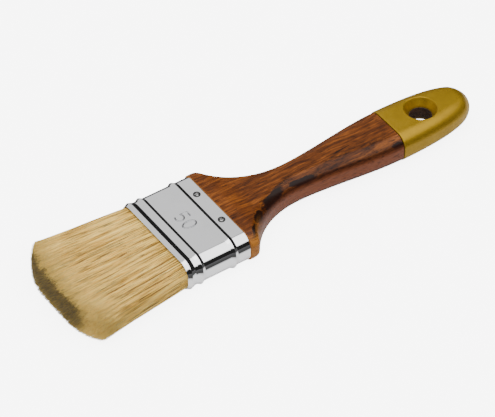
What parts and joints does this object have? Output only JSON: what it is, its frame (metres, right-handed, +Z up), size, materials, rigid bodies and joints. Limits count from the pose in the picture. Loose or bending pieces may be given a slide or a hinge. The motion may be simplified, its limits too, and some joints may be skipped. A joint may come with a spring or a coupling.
{
  "type": "paint brush",
  "caption": "Flat decorator's paint brush with a varnished wooden handle, a lacquered end with a hanging hole, a beaded plated ferrule and a springy bristle tuft that bends.",
  "frame": {"origin": "middle of the bottom of the bounding box, on the surface that the brush lies on", "axes": "+X along the brush towards the hanging end, +Y across its width, +Z up through its thickness"},
  "size_m": [0.2204, 0.06, 0.0166],
  "materials": {
    "bristle": "fine straw-coloured bristle, matt with darker and paler hairs",
    "plated_sheet": "bright nickel-plated sheet metal",
    "nail_metal": "plated nail, slightly duller than the sheet",
    "varnished_wood": "red-brown stained hardwood under gloss varnish",
    "gold_lacquer": "satin metallic gold lacquer",
    "plug_wood": "bare softwood strip",
    "resin": "cast epoxy resin"
  },
  "bodies": {
    "brush": {"bristle_root": "bristle", "spacer_plug_left": "plug_wood", "spacer_plug_right": "plug_wood", "resin_setting": "resin", "ferrule": "plated_sheet", "nail_top_left": "nail_metal", "nail_top_right": "nail_metal", "nail_under_left": "nail_metal", "nail_under_right": "nail_metal", "handle": "varnished_wood", "dipped_end": "gold_lacquer"},
    "bristle_tips": {"bristle_tuft": "bristle"}
  },
  "joints": [
    {"name": "bristle_flex", "type": "hinge", "parent": "brush", "child": "bristle_tips", "pos_m": [-0.0651, 0, 0.0083], "axis": [0, 1, 0], "range_deg": [-35, 35], "stiffness_Nm_per_rad": 0.3}
  ]
}
